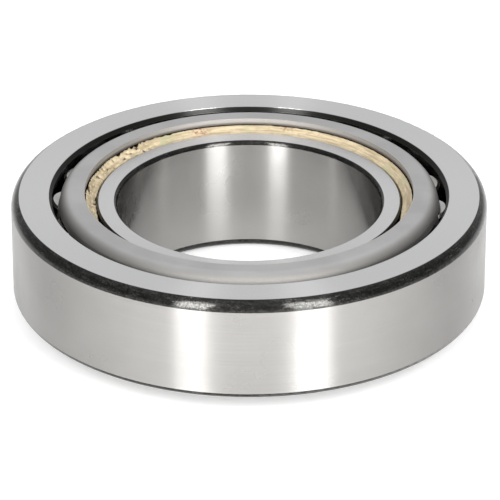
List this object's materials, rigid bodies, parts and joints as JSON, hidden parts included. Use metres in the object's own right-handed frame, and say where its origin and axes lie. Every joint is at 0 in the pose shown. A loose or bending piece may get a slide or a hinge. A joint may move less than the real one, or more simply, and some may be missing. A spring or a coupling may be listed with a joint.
{
  "type": "tapered roller bearing",
  "caption": "Single-row tapered roller bearing: inner ring, pressed steel cage with its rollers, and a separable outer ring, standing on the inner ring's wide face.",
  "frame": {"origin": "centre of the inner ring's back face, on the bearing's axis, at the level it stands on", "axes": "+Z along the bearing's axis, up from the inner ring's back face to the outer ring's back face; +X is across the bearing, and turning about Z changes nothing but the rollers' places"},
  "size_m": [0.18, 0.18, 0.0501],
  "materials": {
    "ring_steel": "ground bright, with dark scale left on the rounded corners",
    "roller_steel": "finely ground, nearly a mirror",
    "cage_steel": "pressed sheet, satin grey",
    "grease": "wet amber film"
  },
  "bodies": {
    "outer_ring": {"outer_ring": "ring_steel"},
    "inner_ring": {"inner_ring": "ring_steel"},
    "cage": {"cage": "cage_steel", "grease_film": "grease"},
    "roller_01": {"roller_01": "roller_steel"},
    "roller_02": {"roller_02": "roller_steel"},
    "roller_03": {"roller_03": "roller_steel"},
    "roller_04": {"roller_04": "roller_steel"},
    "roller_05": {"roller_05": "roller_steel"},
    "roller_06": {"roller_06": "roller_steel"},
    "roller_07": {"roller_07": "roller_steel"},
    "roller_08": {"roller_08": "roller_steel"},
    "roller_09": {"roller_09": "roller_steel"},
    "roller_10": {"roller_10": "roller_steel"},
    "roller_11": {"roller_11": "roller_steel"},
    "roller_12": {"roller_12": "roller_steel"},
    "roller_13": {"roller_13": "roller_steel"},
    "roller_14": {"roller_14": "roller_steel"},
    "roller_15": {"roller_15": "roller_steel"},
    "roller_16": {"roller_16": "roller_steel"},
    "roller_17": {"roller_17": "roller_steel"},
    "roller_18": {"roller_18": "roller_steel"},
    "roller_19": {"roller_19": "roller_steel"},
    "roller_20": {"roller_20": "roller_steel"}
  },
  "joints": [
    {"name": "inner_ring_spin", "type": "hinge", "parent": "outer_ring", "child": "inner_ring", "pos_m": [0, 0, 0.023], "axis": [0, 0, 1], "continuous": true},
    {"name": "cage_orbit", "type": "hinge", "parent": "outer_ring", "child": "cage", "pos_m": [0, 0, 0.03], "axis": [0, 0, 1], "continuous": true},
    {"name": "roller_01_spin", "type": "hinge", "parent": "cage", "child": "roller_01", "pos_m": [0.06945, -0.00352, 0.02656], "axis": [-0.2351, 0.0119, 0.9719], "continuous": true},
    {"name": "roller_02_spin", "type": "hinge", "parent": "cage", "child": "roller_02", "pos_m": [0.06714, 0.01811, 0.02656], "axis": [-0.2273, -0.0613, 0.9719], "continuous": true},
    {"name": "roller_03_spin", "type": "hinge", "parent": "cage", "child": "roller_03", "pos_m": [0.05825, 0.03797, 0.02656], "axis": [-0.1972, -0.1285, 0.9719], "continuous": true},
    {"name": "roller_04_spin", "type": "hinge", "parent": "cage", "child": "roller_04", "pos_m": [0.04367, 0.05412, 0.02656], "axis": [-0.1478, -0.1832, 0.9719], "continuous": true},
    {"name": "roller_05_spin", "type": "hinge", "parent": "cage", "child": "roller_05", "pos_m": [0.02481, 0.06496, 0.02656], "axis": [-0.084, -0.2199, 0.9719], "continuous": true},
    {"name": "roller_06_spin", "type": "hinge", "parent": "cage", "child": "roller_06", "pos_m": [0.00352, 0.06945, 0.02656], "axis": [-0.0119, -0.2351, 0.9719], "continuous": true},
    {"name": "roller_07_spin", "type": "hinge", "parent": "cage", "child": "roller_07", "pos_m": [-0.01811, 0.06714, 0.02656], "axis": [0.0613, -0.2273, 0.9719], "continuous": true},
    {"name": "roller_08_spin", "type": "hinge", "parent": "cage", "child": "roller_08", "pos_m": [-0.03797, 0.05825, 0.02656], "axis": [0.1285, -0.1972, 0.9719], "continuous": true},
    {"name": "roller_09_spin", "type": "hinge", "parent": "cage", "child": "roller_09", "pos_m": [-0.05412, 0.04367, 0.02656], "axis": [0.1832, -0.1478, 0.9719], "continuous": true},
    {"name": "roller_10_spin", "type": "hinge", "parent": "cage", "child": "roller_10", "pos_m": [-0.06496, 0.02481, 0.02656], "axis": [0.2199, -0.084, 0.9719], "continuous": true},
    {"name": "roller_11_spin", "type": "hinge", "parent": "cage", "child": "roller_11", "pos_m": [-0.06945, 0.00352, 0.02656], "axis": [0.2351, -0.0119, 0.9719], "continuous": true},
    {"name": "roller_12_spin", "type": "hinge", "parent": "cage", "child": "roller_12", "pos_m": [-0.06714, -0.01811, 0.02656], "axis": [0.2273, 0.0613, 0.9719], "continuous": true},
    {"name": "roller_13_spin", "type": "hinge", "parent": "cage", "child": "roller_13", "pos_m": [-0.05825, -0.03797, 0.02656], "axis": [0.1972, 0.1285, 0.9719], "continuous": true},
    {"name": "roller_14_spin", "type": "hinge", "parent": "cage", "child": "roller_14", "pos_m": [-0.04367, -0.05412, 0.02656], "axis": [0.1478, 0.1832, 0.9719], "continuous": true},
    {"name": "roller_15_spin", "type": "hinge", "parent": "cage", "child": "roller_15", "pos_m": [-0.02481, -0.06496, 0.02656], "axis": [0.084, 0.2199, 0.9719], "continuous": true},
    {"name": "roller_16_spin", "type": "hinge", "parent": "cage", "child": "roller_16", "pos_m": [-0.00352, -0.06945, 0.02656], "axis": [0.0119, 0.2351, 0.9719], "continuous": true},
    {"name": "roller_17_spin", "type": "hinge", "parent": "cage", "child": "roller_17", "pos_m": [0.01811, -0.06714, 0.02656], "axis": [-0.0613, 0.2273, 0.9719], "continuous": true},
    {"name": "roller_18_spin", "type": "hinge", "parent": "cage", "child": "roller_18", "pos_m": [0.03797, -0.05825, 0.02656], "axis": [-0.1285, 0.1972, 0.9719], "continuous": true},
    {"name": "roller_19_spin", "type": "hinge", "parent": "cage", "child": "roller_19", "pos_m": [0.05412, -0.04367, 0.02656], "axis": [-0.1832, 0.1478, 0.9719], "continuous": true},
    {"name": "roller_20_spin", "type": "hinge", "parent": "cage", "child": "roller_20", "pos_m": [0.06496, -0.02481, 0.02656], "axis": [-0.2199, 0.084, 0.9719], "continuous": true}
  ],
  "couplings": [
    {"joint": "cage_orbit", "follows": "inner_ring_spin", "ratio": 0.42698},
    {"joint": "roller_01_spin", "follows": "inner_ring_spin", "ratio": -3.2567},
    {"joint": "roller_02_spin", "follows": "inner_ring_spin", "ratio": -3.2567},
    {"joint": "roller_03_spin", "follows": "inner_ring_spin", "ratio": -3.2567},
    {"joint": "roller_04_spin", "follows": "inner_ring_spin", "ratio": -3.2567},
    {"joint": "roller_05_spin", "follows": "inner_ring_spin", "ratio": -3.2567},
    {"joint": "roller_06_spin", "follows": "inner_ring_spin", "ratio": -3.2567},
    {"joint": "roller_07_spin", "follows": "inner_ring_spin", "ratio": -3.2567},
    {"joint": "roller_08_spin", "follows": "inner_ring_spin", "ratio": -3.2567},
    {"joint": "roller_09_spin", "follows": "inner_ring_spin", "ratio": -3.2567},
    {"joint": "roller_10_spin", "follows": "inner_ring_spin", "ratio": -3.2567},
    {"joint": "roller_11_spin", "follows": "inner_ring_spin", "ratio": -3.2567},
    {"joint": "roller_12_spin", "follows": "inner_ring_spin", "ratio": -3.2567},
    {"joint": "roller_13_spin", "follows": "inner_ring_spin", "ratio": -3.2567},
    {"joint": "roller_14_spin", "follows": "inner_ring_spin", "ratio": -3.2567},
    {"joint": "roller_15_spin", "follows": "inner_ring_spin", "ratio": -3.2567},
    {"joint": "roller_16_spin", "follows": "inner_ring_spin", "ratio": -3.2567},
    {"joint": "roller_17_spin", "follows": "inner_ring_spin", "ratio": -3.2567},
    {"joint": "roller_18_spin", "follows": "inner_ring_spin", "ratio": -3.2567},
    {"joint": "roller_19_spin", "follows": "inner_ring_spin", "ratio": -3.2567},
    {"joint": "roller_20_spin", "follows": "inner_ring_spin", "ratio": -3.2567}
  ]
}
